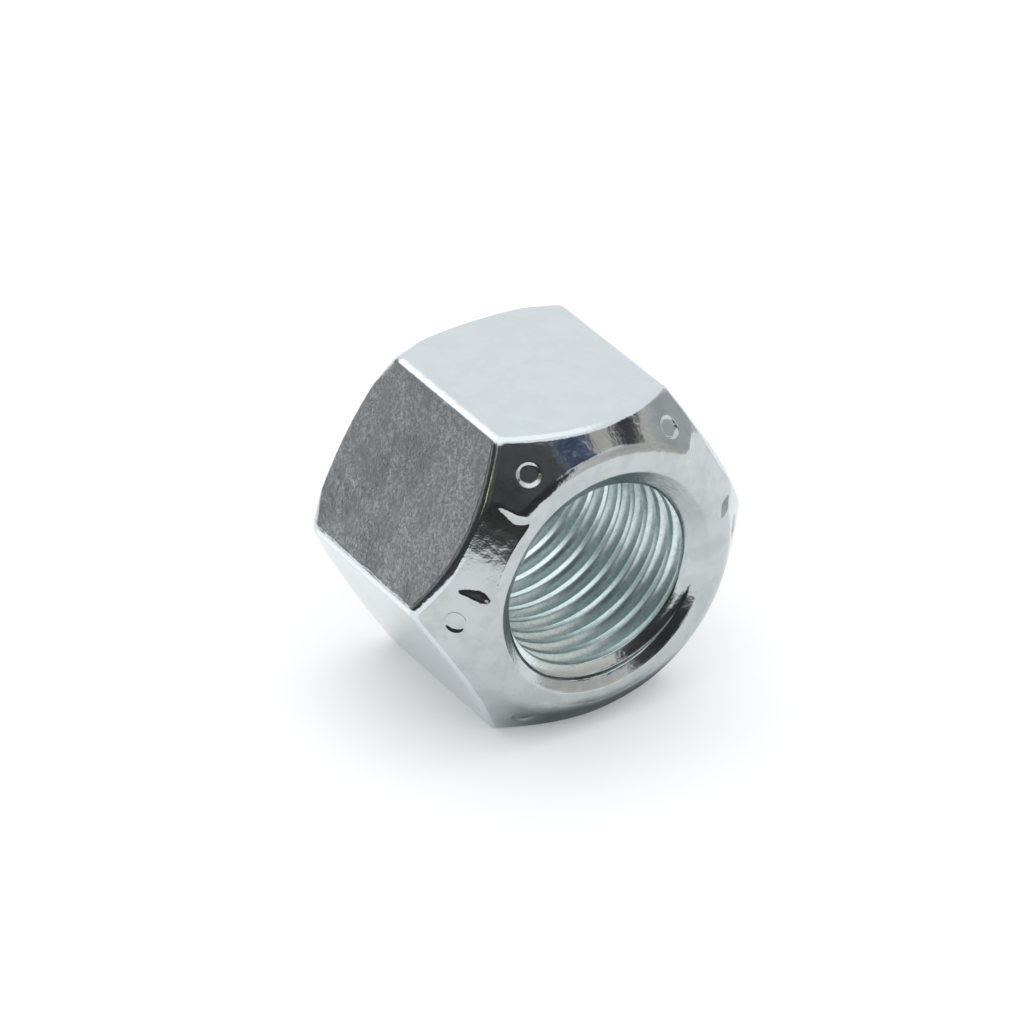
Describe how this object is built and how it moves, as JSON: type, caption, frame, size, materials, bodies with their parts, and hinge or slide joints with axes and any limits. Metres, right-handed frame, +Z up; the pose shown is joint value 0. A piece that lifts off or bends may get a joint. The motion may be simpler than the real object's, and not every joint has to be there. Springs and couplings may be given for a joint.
{
  "type": "lock nut",
  "caption": "One-piece all-metal hexagon lock nut with a coned top, two flats pressed into its lip, round grade dots at its corners, a countersunk mouth and a fine thread.",
  "frame": {"origin": "middle of the lower hexagon flat, at mid-height of the nut, where it rests on a table", "axes": "+Z up, out of the upper flat; +Y along the thread from the coned mouth to the bearing face; +X across two corners of the hexagon"},
  "size_m": [0.0218, 0.0144, 0.0191],
  "materials": {
    "lock_nut": "bright zinc plating, polished on the cone, fine-grained on the flats"
  },
  "bodies": {
    "root": {"lock_nut": "lock_nut"}
  },
  "joints": []
}
